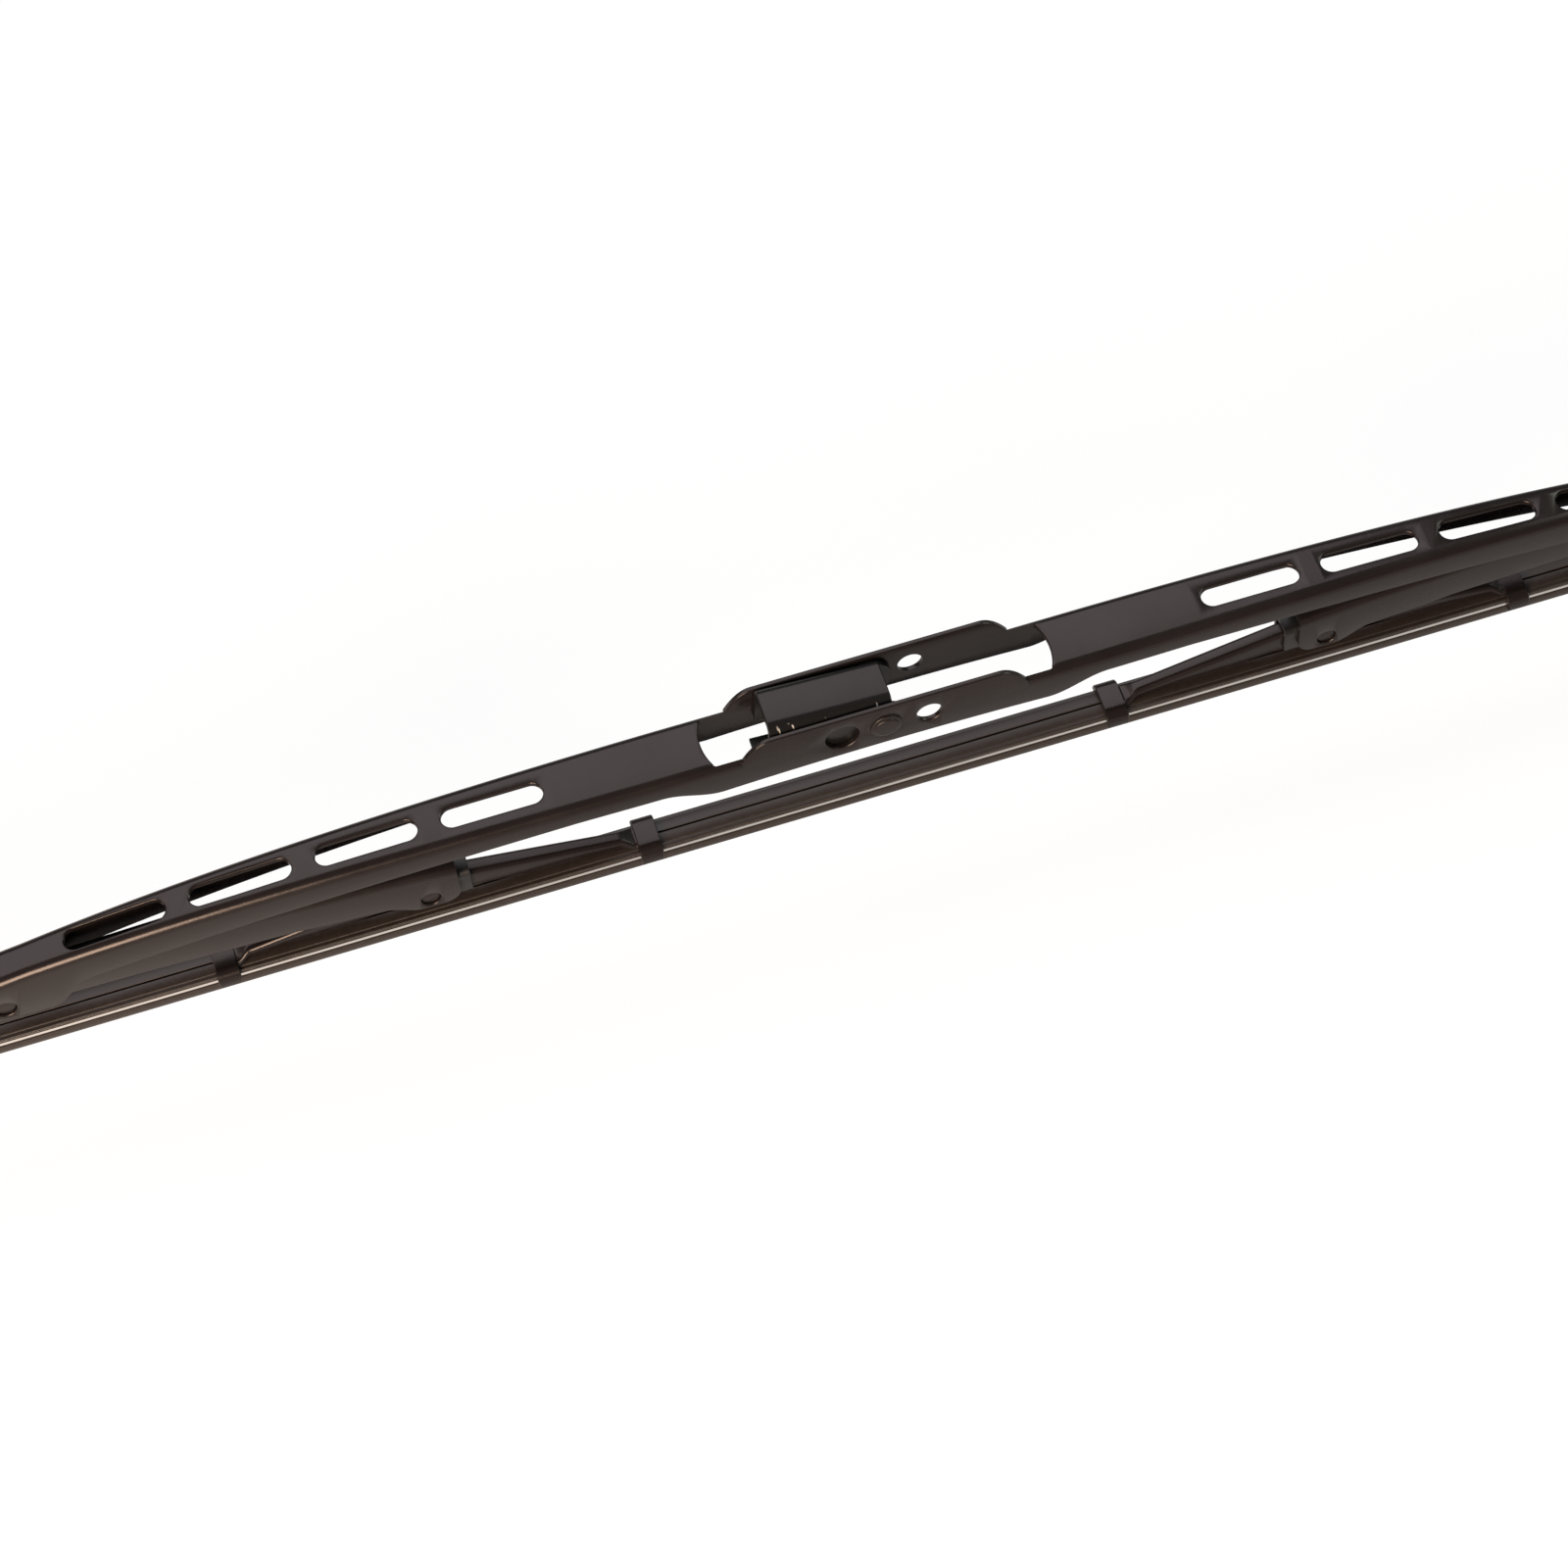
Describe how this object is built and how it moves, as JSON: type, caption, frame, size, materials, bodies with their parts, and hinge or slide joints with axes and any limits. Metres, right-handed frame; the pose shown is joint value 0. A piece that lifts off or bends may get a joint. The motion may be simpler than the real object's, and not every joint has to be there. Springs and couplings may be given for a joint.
{
  "type": "wiper blade",
  "caption": "Bow-frame windscreen wiper blade: arched slotted bridge, pivoting levers and claw yokes carrying a rubber strip on two steel splines.",
  "frame": {"origin": "on the axis of the centre rivet, midway between the bridge's walls, where the arm's adapter turns", "axes": "+X along the blade to the picture's right, -Y the near side with the visible pin holes, +Z away from the glass"},
  "size_m": [0.6, 0.0138, 0.0392],
  "materials": {
    "black_paint": "satin black enamel on pressed steel",
    "bare_steel": "bare spring and rivet steel",
    "black_plastic": "moulded black plastic",
    "rubber": "matt black extruded rubber"
  },
  "bodies": {
    "bridge": {"main_bridge": "black_paint", "centre_rivet": "bare_steel", "left_lever_pin": "bare_steel", "right_lever_pin": "bare_steel", "rubber_strip": "rubber", "near_spline": "bare_steel", "far_spline": "bare_steel"},
    "adapter": {"adapter_saddle": "black_paint", "adapter_spring": "black_plastic"},
    "left_lever": {"left_lever": "black_paint", "left_lever_bush": "black_plastic", "left_inner_yoke_pin": "bare_steel", "left_outer_yoke_pin": "bare_steel"},
    "left_inner_yoke": {"left_inner_yoke": "black_paint", "left_inner_yoke_bush": "black_plastic"},
    "left_outer_yoke": {"left_outer_yoke": "black_paint", "left_outer_yoke_bush": "black_plastic"},
    "right_lever": {"right_lever": "black_paint", "right_lever_bush": "black_plastic", "right_inner_yoke_pin": "bare_steel", "right_outer_yoke_pin": "bare_steel"},
    "right_inner_yoke": {"right_inner_yoke": "black_paint", "right_inner_yoke_bush": "black_plastic"},
    "right_outer_yoke": {"right_outer_yoke": "black_paint", "right_outer_yoke_bush": "black_plastic"}
  },
  "joints": [
    {"name": "adapter_pivot", "type": "hinge", "parent": "bridge", "child": "adapter", "pos_m": [0, 0, 0], "axis": [0, 1, 0], "range_deg": [-3, 30]},
    {"name": "left_lever_pivot", "type": "hinge", "parent": "bridge", "child": "left_lever", "pos_m": [-0.164, 0, -0.013], "axis": [0, 1, 0], "range_deg": [-4, 4], "stiffness_Nm_per_rad": 1, "deforming": ["rubber_strip", "near_spline", "far_spline"]},
    {"name": "left_inner_yoke_pivot", "type": "hinge", "parent": "left_lever", "child": "left_inner_yoke", "pos_m": [-0.0863, 0, -0.0176], "axis": [0, 1, 0], "range_deg": [-5, 5], "stiffness_Nm_per_rad": 0.3},
    {"name": "left_outer_yoke_pivot", "type": "hinge", "parent": "left_lever", "child": "left_outer_yoke", "pos_m": [-0.2417, 0, -0.0176], "axis": [0, 1, 0], "range_deg": [-5, 5], "stiffness_Nm_per_rad": 0.3},
    {"name": "right_lever_pivot", "type": "hinge", "parent": "bridge", "child": "right_lever", "pos_m": [0.164, 0, -0.013], "axis": [0, 1, 0], "range_deg": [-4, 4], "stiffness_Nm_per_rad": 1, "deforming": ["rubber_strip", "near_spline", "far_spline"]},
    {"name": "right_inner_yoke_pivot", "type": "hinge", "parent": "right_lever", "child": "right_inner_yoke", "pos_m": [0.0863, 0, -0.0176], "axis": [0, 1, 0], "range_deg": [-5, 5], "stiffness_Nm_per_rad": 0.3},
    {"name": "right_outer_yoke_pivot", "type": "hinge", "parent": "right_lever", "child": "right_outer_yoke", "pos_m": [0.2417, 0, -0.0176], "axis": [0, 1, 0], "range_deg": [-5, 5], "stiffness_Nm_per_rad": 0.3}
  ]
}
